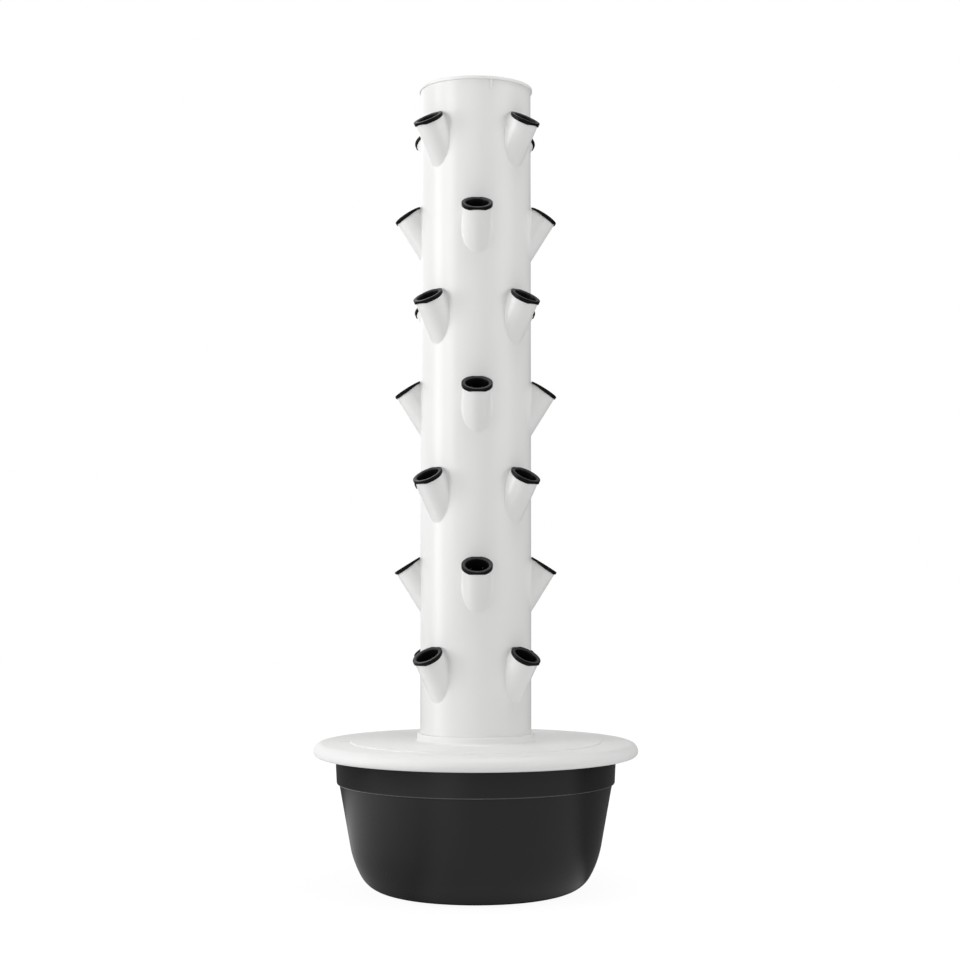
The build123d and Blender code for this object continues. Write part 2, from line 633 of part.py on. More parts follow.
# Pump housing: a rounded block with the rotor's well in its front and a cable gland at its back
pump_back_y = pump_front_y + PUMP_LENGTH
well_radius = ROTOR_DIAMETER / 2 + ROTOR_GAP
bush_pocket = BUSH_DIAMETER / 2 + GLUE_GAP
rotor_back_y = pump_front_y - IMPELLER_PLATE + ROTOR_LENGTH
well_back_y = rotor_back_y + ROTOR_GAP
with BuildPart() as pump_body:
    with BuildSketch(Plane.XZ.offset(-pump_front_y)):
        with Locations((0, pump_axis_z)):
            RectangleRounded(PUMP_WIDTH, PUMP_WIDTH, PUMP_ROUND)
    extrude(amount=-PUMP_LENGTH)
    fillet(pump_body.faces().sort_by(Axis.Y)[-1].edges(), PUMP_ROUND / 2)
    with BuildSketch(Plane.XZ.offset(-pump_back_y)):
        with Locations((0, pump_axis_z + PUMP_WIDTH / 4)):
            Circle(GLAND_DIAMETER / 2)
    extrude(amount=-GLAND_LENGTH)
    with BuildSketch(Plane.XZ.offset(-pump_back_y - GLAND_LENGTH)):
        with Locations((0, pump_axis_z + PUMP_WIDTH / 4)):
            Circle(GLAND_BORE / 2)
    extrude(amount=GLAND_LENGTH, mode=Mode.SUBTRACT)
    with BuildSketch(Plane.XZ.offset(-pump_front_y)):
        with Locations((0, pump_axis_z)):
            Circle(well_radius)
    extrude(amount=pump_front_y - well_back_y, mode=Mode.SUBTRACT)
    with BuildSketch(Plane.XZ.offset(-well_back_y)):
        with Locations((0, pump_axis_z)):
            Circle(bush_pocket)
    extrude(amount=-BUSH_LENGTH, mode=Mode.SUBTRACT)
save(pump_body.part, "pump_body")

# Volute: the impeller's chamber, with a bush in the spider across its inlet and the outlet spigot on top
with BuildPart() as pump_volute:
    with BuildSketch(Plane.XZ.offset(-pump_front_y)):
        with Locations((0, pump_axis_z)):
            Circle(volute_radius)
    extrude(amount=pump_front_y - chamber_front_y)
    with BuildSketch(Plane.XY.offset(pump_axis_z)):
        Circle(spigot_radius)
    extrude(amount=spigot_top_z - pump_axis_z)
    with BuildSketch(Plane.XZ.offset(-pump_front_y)):
        with Locations((0, pump_axis_z)):
            Circle(chamber_radius)
    extrude(amount=CHAMBER_DEPTH, mode=Mode.SUBTRACT)
    with BuildSketch(Plane.XY.offset(pump_axis_z)):
        Circle(spigot_radius - SPIGOT_WALL)
    extrude(amount=spigot_top_z - pump_axis_z, mode=Mode.SUBTRACT)
    with BuildSketch(Plane.XZ.offset(-chamber_front_y)):
        with Locations((0, pump_axis_z)):
            Circle(INLET_DIAMETER / 2)
    extrude(amount=-CHAMBER_WALL, mode=Mode.SUBTRACT)
    with BuildSketch(Plane.XZ.offset(-chamber_front_y)):
        with Locations((0, pump_axis_z)):
            with PolarLocations(INLET_DIAMETER / 4, SPIDER_ARMS, start_angle=90):
                Rectangle(INLET_DIAMETER / 2 + SPIDER_WIDTH, SPIDER_WIDTH)
            Circle(bush_pocket + SPIGOT_WALL)
            Circle(bush_pocket, mode=Mode.SUBTRACT)
    extrude(amount=-CHAMBER_WALL)
save(pump_volute.part, "pump_volute")

# Rotor: a magnet on a bladed plate, free on the fixed shaft
with BuildPart() as pump_rotor:
    plate_y = pump_front_y - IMPELLER_PLATE
    with BuildSketch(Plane.XZ.offset(-plate_y)):
        with Locations((0, pump_axis_z)):
            Circle(ROTOR_DIAMETER / 2)
    extrude(amount=-ROTOR_LENGTH)
    with BuildSketch(Plane.XZ.offset(-plate_y)):
        with Locations((0, pump_axis_z)):
            Circle(IMPELLER_DIAMETER / 2)
    extrude(amount=IMPELLER_PLATE)
    with BuildSketch(Plane.XZ.offset(-plate_y + IMPELLER_PLATE)):
        with Locations((0, pump_axis_z)):
            Circle(BUSH_DIAMETER / 2)
            with PolarLocations(IMPELLER_DIAMETER / 4, BLADES):
                Rectangle(IMPELLER_DIAMETER / 2 - BLADE_WIDTH, BLADE_WIDTH)
    extrude(amount=BLADE_HEIGHT)
    with BuildSketch(Plane.XZ.offset(-plate_y - ROTOR_LENGTH)):
        with Locations((0, pump_axis_z)):
            Circle(SHAFT_DIAMETER / 2 + SHAFT_CLEARANCE)
    extrude(amount=ROTOR_LENGTH + IMPELLER_PLATE + BLADE_HEIGHT, mode=Mode.SUBTRACT)
save(pump_rotor.part, "pump_rotor")

# Shaft, held at both ends in rubber bushes
with BuildPart() as rotor_shaft:
    with BuildSketch(Plane.XZ.offset(-chamber_front_y)):
        with Locations((0, pump_axis_z)):
            Circle(SHAFT_DIAMETER / 2)
    extrude(amount=chamber_front_y - well_back_y - BUSH_LENGTH + GLUE_GAP)
save(rotor_shaft.part, "rotor_shaft")

with BuildPart() as shaft_bushes:
    for bush_y, bush_length in ((chamber_front_y, CHAMBER_WALL), (well_back_y, BUSH_LENGTH - GLUE_GAP)):
        with BuildSketch(Plane.XZ.offset(-bush_y)):
            with Locations((0, pump_axis_z)):
                Circle(BUSH_DIAMETER / 2)
                Circle(SHAFT_DIAMETER / 2 + GLUE_GAP / 2, mode=Mode.SUBTRACT)
        extrude(amount=-bush_length)
save(shaft_bushes.part, "shaft_bushes")

# Strainer: a slotted cap over the inlet, with a headed pin on its face for the flow dial
strainer_front_y = chamber_front_y - STRAINER_DEPTH
with BuildPart() as pump_strainer:
    with BuildSketch(Plane.XZ.offset(-chamber_front_y)):
        with Locations((0, pump_axis_z)):
            Circle(volute_radius)
    extrude(amount=STRAINER_DEPTH)
    with BuildSketch(Plane.XZ.offset(-chamber_front_y)):
        with Locations((0, pump_axis_z)):
            Circle(volute_radius - STRAINER_WALL)
    extrude(amount=STRAINER_DEPTH - STRAINER_WALL, mode=Mode.SUBTRACT)
    with BuildSketch(Plane.XZ.offset(-strainer_front_y)):
        with Locations((0, pump_axis_z)):
            with PolarLocations(DIAL_HOLE_RADIUS, DIAL_HOLES):
                Circle(DIAL_HOLE / 2)
    extrude(amount=-STRAINER_WALL, mode=Mode.SUBTRACT)
    with BuildSketch(Plane.XZ.offset(-chamber_front_y + STRAINER_WALL)):
        with Locations((0, pump_axis_z)):
            with PolarLocations(volute_radius, STRAINER_SLOTS):
                Rectangle(3 * STRAINER_WALL, STRAINER_SLOT_WIDTH)
    extrude(amount=STRAINER_DEPTH - 3 * STRAINER_WALL, mode=Mode.SUBTRACT)
    with BuildSketch(Plane.XZ.offset(-strainer_front_y)):
        with Locations((0, pump_axis_z)):
            Circle(DIAL_PIN / 2)
    extrude(amount=DIAL_THICKNESS + 2 * DIAL_CLEARANCE)
    with BuildSketch(Plane.XZ.offset(-strainer_front_y + DIAL_THICKNESS + 2 * DIAL_CLEARANCE)):
        with Locations((0, pump_axis_z)):
            Circle(DIAL_PIN_HEAD / 2)
    extrude(amount=STRAINER_WALL)
save(pump_strainer.part, "pump_strainer")

# Flow dial: a drilled disc that turns on the pin, so that its holes open or close the strainer's
with BuildPart() as flow_dial:
    with BuildSketch(Plane.XZ.offset(-strainer_front_y + DIAL_CLEARANCE)):
        with Locations((0, pump_axis_z)):
            Circle(DIAL_DIAMETER / 2)
            with Locations((0, (DIAL_DIAMETER + DIAL_TAB_REACH) / 2)):
                Rectangle(DIAL_TAB_WIDTH, DIAL_TAB_REACH + DIAL_TAB_WIDTH)
            Circle(DIAL_PIN / 2 + DIAL_CLEARANCE, mode=Mode.SUBTRACT)
            with PolarLocations(DIAL_HOLE_RADIUS, DIAL_HOLES):
                Circle(DIAL_HOLE / 2, mode=Mode.SUBTRACT)
    extrude(amount=DIAL_THICKNESS)
save(flow_dial.part, "flow_dial")

# Suction feet: flared rubber cups under the pump's corners
with BuildPart() as suction_feet:
    with BuildSketch(Plane.XZ):
        with BuildLine():
            foot_neck_z = tank_floor_z + PUMP_FOOT_HEIGHT
            Polyline(
                (0, tank_floor_z),
                (PUMP_FOOT_DIAMETER / 2, tank_floor_z),
                (PUMP_FOOT_NECK / 2, tank_floor_z + PUMP_FOOT_HEIGHT / 2),
                (PUMP_FOOT_NECK / 2, foot_neck_z),
                (0, foot_neck_z),
                close=True,
            )
        make_face()
    revolve(axis=Axis.Z)
foot_span_x = PUMP_WIDTH - 2 * PUMP_FOOT_INSET
foot_span_y = PUMP_LENGTH - 2 * PUMP_FOOT_INSET
foot_middle = Plane.XY.move(Location((0, (pump_front_y + pump_back_y) / 2, 0)))
with BuildPart(foot_middle) as pump_feet:
    with GridLocations(foot_span_x, foot_span_y, 2, 2):
        add(suction_feet.part)
save(pump_feet.part, "pump_feet")
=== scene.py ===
import json
import math

import bmesh
import bpy
import numpy as np
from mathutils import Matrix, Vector


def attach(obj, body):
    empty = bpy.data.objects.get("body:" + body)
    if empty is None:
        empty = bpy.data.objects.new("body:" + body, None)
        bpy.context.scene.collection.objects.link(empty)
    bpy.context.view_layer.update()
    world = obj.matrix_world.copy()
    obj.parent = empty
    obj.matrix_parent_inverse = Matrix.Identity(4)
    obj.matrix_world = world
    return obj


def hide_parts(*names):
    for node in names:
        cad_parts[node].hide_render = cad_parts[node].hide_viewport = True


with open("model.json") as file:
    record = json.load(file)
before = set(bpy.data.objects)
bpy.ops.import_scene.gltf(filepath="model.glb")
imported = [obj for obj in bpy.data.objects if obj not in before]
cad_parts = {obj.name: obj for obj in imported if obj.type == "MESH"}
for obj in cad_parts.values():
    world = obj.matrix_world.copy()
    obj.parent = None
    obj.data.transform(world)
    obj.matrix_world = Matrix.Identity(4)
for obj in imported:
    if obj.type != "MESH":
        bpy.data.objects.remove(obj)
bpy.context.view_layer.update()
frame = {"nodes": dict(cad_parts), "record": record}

MM = 0.001

# The photograph's view: where the camera stands and looks, in metres and degrees, and its lens and sensor
# in millimetres
CAMERA_DISTANCE = 2.636
CAMERA_AZIMUTH = 1.09
CAMERA_HEIGHT = 0.46
LOOK_AT = (0.0061, 0.0, 0.5867)
LENS = 68.26
SENSOR = 36.0

# Studio: each lamp's place and size in metres and its power in watts; all of them face the tower's middle
AIM = (0.0, 0.0, 0.65)
LAMPS = {
    "left_side": ((-2.6, -0.3, 0.9), (1.0, 2.0), 25.0),
    "left_front": ((-2.4, -1.6, 1.6), (1.0, 2.0), 22.0),
    "right_front": ((2.2, -2.0, 1.3), (1.2, 2.0), 7.0),
    "right_side": ((2.6, -1.2, 1.4), (1.4, 2.0), 12.5),
    "overhead": ((0.6, -0.5, 3.2), (1.6, 1.6), 23.0),
    "behind": ((-0.9, 3.0, 1.8), (1.8, 1.8), 8.0),
}
# Lamps that only fill: they make no highlight
FILLS = ("behind",)
# Light of the surroundings on the tower, and light that the floor throws up at it
AMBIENT = 0.37
FLOOR_BOUNCE = 0.65
# The floor as it is seen: it fades from the paper's glow under the tower to white, over radii in metres
FLOOR_PAPER = "#5a5a5a"
FLOOR_SEEN = (0.94, 1.0)
FLOOR_SEEN_OVER = (0.45, 1.4)
FLOOR_HALF = 6.0
# What gloss sees of the surroundings: they darken to the right, by the X of the direction
WORLD_MIRRORED = (0.9, 0.12)
WORLD_MIRRORED_OVER = (-0.15, 0.25)
# What gloss sees of the floor, in metres: dark round the tank's foot, by the radius
FOOT_DARK_OVER = (0.135, 0.18)
# On the left a lit patch, by X, which ends by the distance from its centre
PATCH_MIRRORED = (0.72, 0.03)
PATCH_MIRRORED_OVER = (-0.5, -0.05)
PATCH_CENTRE = (0.0, -0.3, 0.0)
PATCH_ENDS_OVER = (0.74, 1.08)
# In front a grey, by the cosine of the angle round the tower from the grey's middle
GREY_TURN = math.radians(25.0)
GREY_MIDDLE = (math.sin(GREY_TURN), -math.cos(GREY_TURN), 0.0)
GREY_MIRRORED = (0.02, 0.42)
GREY_MIRRORED_OVER = (0.42, 0.72)

# The tank's edge under its band, in millimetres: over these heights a painted highlight, a pale tone in place
# of the floor's reflection in the edge, comes and goes
STEP_HIGHLIGHT_COMES = (151.4, 151.7)
STEP_HIGHLIGHT_GOES = (152.6, 153.2)

# Planting mouths, in millimetres: where the middle of a mouth's rim stands, and how far it leans
MOUTH_ROWS = 7
MOUTHS_IN_ROW = 4
MOUTH_REACH = 97.0
MOUTH_LEAN = math.radians(32.0)
LOWEST_MOUTH = 334.6
MOUTH_PITCH = 127.25

# Net cups, in millimetres: heights are along the cup's axis, from the end of the mouth. A pair of values is
# for the outside and the inside
CUP_FLOOR = (-48.0, -46.0)
CUP_FLOOR_RADII = (13.0, 11.5)
CUP_MOUTH_RADII = (17.5, 16.3)
# Edge between floor and wall: how far in it starts, and how far up it ends
CUP_EDGE_IN = (0.7, 0.6)
CUP_EDGE_UP = (0.8, 0.6)
# Where the straight walls end under the rim
CUP_WALL_HEADS = (-1.0, -1.5)
# Rim: its edge, its top, the gap under it, and the roundings of its crown, shoulder and foot
CUP_RIM_RADIUS = 22.1
CUP_RIM_TOP = 3.0
CUP_SEAT = 0.05
CUP_CROWN = 0.7
CUP_SHOULDER = 0.2
CUP_FOOT = 0.3
CUP_FOOT_DROP = 0.02
# Painted sheen on the rim: a paler ring in place of the light the rim's top catches; its border, its inner
# radius, and what is left of the sheen next to the pipe
CUP_RING_BORDER = 2.2
CUP_RING_INSIDE = 17.9
CUP_SHEEN_AT_PIPE = 0.2
# Lip round the opening: radius and depth under the rim's top of its head and its foot; the throat under it
CUP_LIP_HEAD = (17.3, 0.25)
CUP_LIP_FOOT = (16.95, 0.9)
CUP_THROAT_RADIUS = 16.6
CUP_THROAT_HEIGHT = 0.5
# The rim's skirt round the mouth: deepest in front, it fades out towards the pipe, and its front is cut level
CUP_SKIRT_DEPTH = 2.4
CUP_SKIRT_INSIDE = 20.65
CUP_SKIRT_WALL = 0.5
CUP_SKIRT_FADES = (math.radians(150), math.radians(70))
CUP_LEVEL_CUT = 12.2
# Circle round the column's axis that the rims stay out of
CUP_CLEARS_PIPE = 81.0
# Slots: their ends along the wall, their radii in the floor, and half their width in degrees
CUP_SLOTS = 6
CUP_SLOT_ENDS = (-44.0, -10.0)
CUP_FLOOR_SLOT = (4.0, 9.0)
CUP_SLOT_HALF = 5.4
# A cup's columns, in degrees from the middle of a slot, and which of them are the slot's edges
CUP_COLUMNS = (-30, -25, -20, -15, -10, -CUP_SLOT_HALF, 0, CUP_SLOT_HALF, 10, 15, 20, 25)
CUP_SLOT_EDGES = (5, 7)
# Points nearer than this are one, and faces that meet at more than this angle keep a sharp edge
CUP_MERGE = 0.001
CUP_SHARP = math.radians(50)


def linear(hex_colour):
    """The linear colour of an sRGB hex value, with alpha 1."""
    srgb = np.array([int(hex_colour[i : i + 2], 16) for i in (1, 3, 5)]) / 255
    low = srgb / 12.92
    high = ((srgb + 0.055) / 1.055) ** 2.4
    return (*np.where(srgb <= 0.04045, low, high), 1.0)


def add_node(tree, kind, inputs=None, **settings):
    """Adds one node to a tree: settings are its properties, inputs its sockets' values or their sources."""
    made = tree.nodes.new(kind)
    for name, value in settings.items():
        setattr(made, name, value)
    for socket, value in (inputs or {}).items():
        if isinstance(value, bpy.types.NodeSocket):
            tree.links.new(value, made.inputs[socket])
        else:
            made.inputs[socket].default_value = value
    return made


def new_material(name):
    """An empty node material: gives the material, its tree and its output node."""
    material = bpy.data.materials.new(name)
    material.use_nodes = True
    tree = material.node_tree
    tree.nodes.clear()
    return material, tree, tree.nodes.new("ShaderNodeOutputMaterial")


def fade(over, to, value):
    """The inputs of a fade: a value that goes over one range gives a strength that goes to another."""
    return {"Value": value, "From Min": over[0], "From Max": over[1], "To Min": to[0], "To Max": to[1]}


def plastic(name, tones, rough, ior, specular, wave, grain, draw=1.0, painted_light_tone=None, painted_light_by=None):
    """A moulded or drawn plastic. Two close tones drift over the surface with the gloss, and two bumps lie on
    each other: the slow waves that a wall gets as it cools, and the fine grain of the tool that shaped it.
    Each has a size and a depth in millimetres, and draw stretches both along Z, as a die does to a drawn pipe.
    The last two arguments give painted light: a paler tone for a highlight or sheen, and the socket that says
    where it falls, from 0 to 1."""
    material, tree, out = new_material(name)
    place = add_node(tree, "ShaderNodeTexCoord").outputs["Object"]
    drawn = add_node(
        tree, "ShaderNodeMapping", {"Vector": place, "Scale": (1, 1, 1 / draw)}
    ).outputs["Vector"]
    waves = add_node(
        tree,
        "ShaderNodeTexNoise",
        {"Vector": drawn, "Scale": 1 / (wave[0] * MM), "Detail": 3.0, "Roughness": 0.5},
    ).outputs["Fac"]
    grains = add_node(
        tree,
        "ShaderNodeTexNoise",
        {"Vector": drawn, "Scale": 1 / (grain[0] * MM), "Detail": 2.0, "Roughness": 0.6},
    ).outputs["Fac"]
    tone = add_node(
        tree,
        "ShaderNodeMix",
        {"Factor": waves, "A": linear(tones[0]), "B": linear(tones[1])},
        data_type="RGBA",
    )
    # Painted light: a paler tone mixed in where the given socket says, for a highlight or sheen
    if painted_light_tone:
        tone = add_node(
            tree,
            "ShaderNodeMix",
            {"Factor": painted_light_by(tree, place), "A": tone.outputs["Result"], "B": linear(painted_light_tone)},
            data_type="RGBA",
        )
    gloss = add_node(tree, "ShaderNodeMapRange", {"Value": waves, "To Min": rough[0], "To Max": rough[1]})
    slow = add_node(tree, "ShaderNodeBump", {"Height": waves, "Distance": wave[1] * MM, "Strength": 1.0})
    fine = add_node(
        tree,
        "ShaderNodeBump",
        {"Height": grains, "Distance": grain[1] * MM, "Strength": 1.0, "Normal": slow.outputs["Normal"]},
    )
    shader = add_node(
        tree,
        "ShaderNodeBsdfPrincipled",
        {
            "Base Color": tone.outputs["Result"],
            "Roughness": gloss.outputs["Result"],
            "IOR": ior,
            "Specular IOR Level": specular,
            "Normal": fine.outputs["Normal"],
        },
    )
    tree.links.new(shader.outputs["BSDF"], out.inputs["Surface"])
    return material


def step_painted_highlight(tree, place):
    """Where the edge under the tank's band gets its painted highlight, a pale tone in place of the floor's
    reflection: between two heights, with soft ends.
    """
    height = add_node(tree, "ShaderNodeSeparateXYZ", {"Vector": place}).outputs["Z"]
    height_mm = add_node(tree, "ShaderNodeMath", {0: height, 1: MM}, operation="DIVIDE").outputs["Value"]
    comes = add_node(tree, "ShaderNodeMapRange", fade(STEP_HIGHLIGHT_COMES, (0.0, 1.0), height_mm))
    goes = add_node(tree, "ShaderNodeMapRange", fade(STEP_HIGHLIGHT_GOES, (1.0, 0.0), height_mm))
    both = {0: comes.outputs["Result"], 1: goes.outputs["Result"]}
    return add_node(tree, "ShaderNodeMath", both, operation="MULTIPLY").outputs["Value"]


def rim_painted_sheen(tree, place):
    """Where a net cup's rim gets its painted sheen, a paler tone in place of the light its top catches: the
    mesh carries it.
    """
    return add_node(tree, "ShaderNodeAttribute", attribute_name="painted_sheen").outputs["Fac"]


# White ABS of the column, cap and lid: an even white with a soft gloss, and faint waves that bend reflections
column_white = plastic(
    "drawn_white_abs",
    tones=("#ebebea", "#efefee"),
    rough=(0.28, 0.34),
    ior=1.53,
    specular=0.5,
    wave=(45, 0.05),
    grain=(1.6, 0.003),
    draw=12,
)
cap_white = plastic(
    "gloss_white_abs",
    tones=("#eeeeed", "#f1f1f0"),
    rough=(0.29, 0.36),
    ior=1.53,
    specular=0.5,
    wave=(30, 0.03),
    grain=(1.5, 0.003),
)
lid_white = plastic(
    "satin_white_abs",
    tones=("#ededec", "#f1f1f0"),
    rough=(0.48, 0.58),
    ior=1.53,
    specular=0.5,
    wave=(40, 0.05),
    grain=(0.9, 0.008),
)
# Black polypropylene of the tank: a satin skin that turns pale where it is seen edge on, with a painted
# highlight at its step
tank_black = plastic(
    "moulded_black_polypropylene",
    tones=("#212121", "#242425"),
    rough=(0.16, 0.22),
    ior=1.49,
    specular=0.3,
    wave=(50, 0.06),
    grain=(0.8, 0.010),
    painted_light_tone="#666666",
    painted_light_by=step_painted_highlight,
)
# Black polypropylene of the net cups: duller, with a paler ring on the rim that is painted sheen
cup_black = plastic(
    "dull_black_polypropylene",
    tones=("#0c0c0c", "#101010"),
    rough=(0.30, 0.40),
    ior=1.49,
    specular=0.12,
    wave=(9, 0.01),
    grain=(0.7, 0.006),
    painted_light_tone="#424242",
    painted_light_by=rim_painted_sheen,
)
# Black rubber: a dull dark grey with hardly any highlight
rubber_black = plastic(
    "black_rubber",
    tones=("#141414", "#191919"),
    rough=(0.62, 0.74),
    ior=1.52,
    specular=0.3,
    wave=(8, 0.01),
    grain=(0.6, 0.010),
)
# Black ABS of the pump: fine spark-eroded grain that spreads the light
pump_black = plastic(
    "black_pump_abs",
    tones=("#17181a", "#1c1d1f"),
    rough=(0.40, 0.50),
    ior=1.53,
    specular=0.4,
    wave=(12, 0.01),
    grain=(0.6, 0.012),
)
# Grey nylon of the dial and rotor: an even middle grey with a soft sheen
pump_grey = plastic(
    "grey_pump_nylon",
    tones=("#6b6d70", "#74767a"),
    rough=(0.42, 0.52),
    ior=1.53,
    specular=0.4,
    wave=(10, 0.01),
    grain=(0.6, 0.010),
)
# Grey pipe plastic of the riser: pale, with long faint lines from the die
riser_grey = plastic(
    "drawn_grey_upvc",
    tones=("#a9abad", "#b2b4b6"),
    rough=(0.32, 0.42),
    ior=1.53,
    specular=0.5,
    wave=(20, 0.02),
    grain=(1.4, 0.004),
    draw=10,
)

# Ground stainless steel: a grey metal with fine grinding lines round the shaft, drawn coarser than they are
# so that they show. Sizes are in millimetres
GRIND_SPACING = 0.4
GRIND_DEPTH = 0.004
GRIND_STRETCH = 20
shaft_steel, tree, out = new_material("ground_stainless_steel")
place = add_node(tree, "ShaderNodeTexCoord").outputs["Object"]
around = add_node(
    tree, "ShaderNodeMapping", {"Vector": place, "Scale": (1 / GRIND_STRETCH, 1, 1 / GRIND_STRETCH)}
).outputs["Vector"]
lines = add_node(
    tree, "ShaderNodeTexNoise", {"Vector": around, "Scale": 1 / (GRIND_SPACING * MM), "Detail": 2.0}
).outputs["Fac"]
tone = add_node(
    tree,
    "ShaderNodeMix",
    {"Factor": lines, "A": linear("#b4b6b8"), "B": linear("#c6c8ca")},
    data_type="RGBA",
)
gloss = add_node(tree, "ShaderNodeMapRange", {"Value": lines, "To Min": 0.28, "To Max": 0.38})
ground = add_node(tree, "ShaderNodeBump", {"Height": lines, "Distance": GRIND_DEPTH * MM, "Strength": 1.0})
shader = add_node(
    tree,
    "ShaderNodeBsdfPrincipled",
    {
        "Base Color": tone.outputs["Result"],
        "Metallic": 1.0,
        "Roughness": gloss.outputs["Result"],
        "Normal": ground.outputs["Normal"],
    },
)
tree.links.new(shader.outputs["BSDF"], out.inputs["Surface"])

FINISHES = {
    "pipe_white": column_white,
    "lid_white": lid_white,
    "cap_white": cap_white,
    "tank_black": tank_black,
    "cup_black": cup_black,
    "black_rubber": rubber_black,
    "pump_black": pump_black,
    "pump_grey": pump_grey,
    "riser_grey": riser_grey,
    "shaft_steel": shaft_steel,
}
for part in frame["record"]["subparts"]:
    for slot in frame["nodes"][part["node"]].material_slots:
        slot.material = FINISHES[part["material_slot"]]


def pipe_limit(angle, height):
    """How far from a cup's axis its rim may reach before it comes into the circle K that keeps it off the
    pipe: the nearer root r of (A + B r)^2 + (S r)^2 = K^2, where A = reach + height sin(lean),
    B = cos(angle) cos(lean) and S = sin(angle). The angle is counted from the rim's lowest point."""
    a = MOUTH_REACH + height * math.sin(MOUTH_LEAN)
    b = np.cos(angle) * math.cos(MOUTH_LEAN)
    square = b**2 + np.sin(angle) ** 2
    root = (a * b) ** 2 - square * (a**2 - CUP_CLEARS_PIPE**2)
    nearer = (-a * b - np.sqrt(np.maximum(root, 0.0))) / square
    return np.where((root > 0) & (b < 0), nearer, np.inf)


def cup_section(angle):
    """Radius, height and painted sheen of a net cup's wall at each angle, as rows from the middle of its
    underside up the outside, over the rim and down the inside. The wall's radius grows evenly with the height.
    The rim's edge is at the least of its own radius and the pipe's limit. The skirt's foot is CUP_SKIRT_DEPTH
    below the mouth's end times a smooth step of the angle, but no lower than a level plane under the rim's
    middle. The ring's painted sheen, a paler tone that stands in for the light the rim's top catches, fades
    towards the pipe. Gives the rows' names too."""

    def taper(side, height):
        drop = height / CUP_FLOOR[side]
        return CUP_MOUTH_RADII[side] + (CUP_FLOOR_RADII[side] - CUP_MOUTH_RADII[side]) * drop

    def edge(height):
        return np.minimum(CUP_RIM_RADIUS, pipe_limit(angle, height))

    turned = np.abs((angle + math.pi) % (2 * math.pi) - math.pi)
    step = np.clip((turned - CUP_SKIRT_FADES[0]) / (CUP_SKIRT_FADES[1] - CUP_SKIRT_FADES[0]), 0, 1)
    rim_fall = CUP_RIM_RADIUS * np.cos(angle) * math.sin(MOUTH_LEAN)
    level = (rim_fall - CUP_LEVEL_CUT) / math.cos(MOUTH_LEAN)
    foot = np.maximum(-CUP_SKIRT_DEPTH * step**2 * (3 - 2 * step), level)
    # Painted sheen on the ring: full at the front, fading to what is left of it next to the pipe
    sheen_towards_front = np.clip(CUP_SHEEN_AT_PIPE + 1 + np.cos(angle), 0, 1)
    inside = np.minimum(CUP_SKIRT_INSIDE, edge(CUP_SEAT) - CUP_SKIRT_WALL)
    low, high = CUP_SLOT_ENDS
    middle = (low + high) / 2
    top = CUP_RIM_TOP
    wall_feet = [floor + up for floor, up in zip(CUP_FLOOR, CUP_EDGE_UP)]
    # Each row's third value is its painted sheen
    rows = {
        "underside": (0, CUP_FLOOR[0], 0),
        "floor_slot_in": (CUP_FLOOR_SLOT[0], CUP_FLOOR[0], 0),
        "floor_slot_out": (CUP_FLOOR_SLOT[1], CUP_FLOOR[0], 0),
        "floor_edge": (CUP_FLOOR_RADII[0] - CUP_EDGE_IN[0], CUP_FLOOR[0], 0),
        "wall_foot": (taper(0, wall_feet[0]), wall_feet[0], 0),
        "slot_foot": (taper(0, low), low, 0),
        "slot_middle": (taper(0, middle), middle, 0),
        "slot_head": (taper(0, high), high, 0),
        "wall_head": (taper(0, CUP_WALL_HEADS[0]), CUP_WALL_HEADS[0], 0),
        "seat": (CUP_MOUTH_RADII[0], CUP_SEAT, 0),
        "skirt_root": (inside, CUP_SEAT, 0),
        "skirt_inside": (inside, foot, 0),
        "skirt_foot": (edge(foot) - CUP_FOOT, foot - CUP_FOOT_DROP, 0),
        "rim_foot": (edge(foot + CUP_FOOT), foot + CUP_FOOT, 0),
        "rim_side": (edge(top - CUP_CROWN), top - CUP_CROWN, 0),
        "rim_shoulder": (edge(top - CUP_SHOULDER) - CUP_SHOULDER, top - CUP_SHOULDER, 0),
        "rim_crown": (edge(top) - CUP_CROWN, top, 0),
        "ring_outside": (edge(top) - CUP_RING_BORDER, top, sheen_towards_front),
        "ring_inside": (CUP_RING_INSIDE, top, sheen_towards_front),
        "lip_head": (CUP_LIP_HEAD[0], top - CUP_LIP_HEAD[1], 1),
        "lip_foot": (CUP_LIP_FOOT[0], top - CUP_LIP_FOOT[1], 1),
        "throat": (CUP_THROAT_RADIUS, CUP_THROAT_HEIGHT, 0),
        "inner_head": (taper(1, CUP_WALL_HEADS[1]), CUP_WALL_HEADS[1], 0),
        "inner_slot_head": (taper(1, high), high, 0),
        "inner_slot_middle": (taper(1, middle), middle, 0),
        "inner_slot_foot": (taper(1, low), low, 0),
        "inner_foot": (taper(1, wall_feet[1]), wall_feet[1], 0),
        "inner_edge": (CUP_FLOOR_RADII[1] - CUP_EDGE_IN[1], CUP_FLOOR[1], 0),
        "inner_floor_slot_out": (CUP_FLOOR_SLOT[1], CUP_FLOOR[1], 0),
        "inner_floor_slot_in": (CUP_FLOOR_SLOT[0], CUP_FLOOR[1], 0),
        "inside": (0, CUP_FLOOR[1], 0),
    }
    section = [np.stack([np.broadcast_to(row[i], angle.shape) for row in rows.values()]) for i in range(3)]
    return section, list(rows)


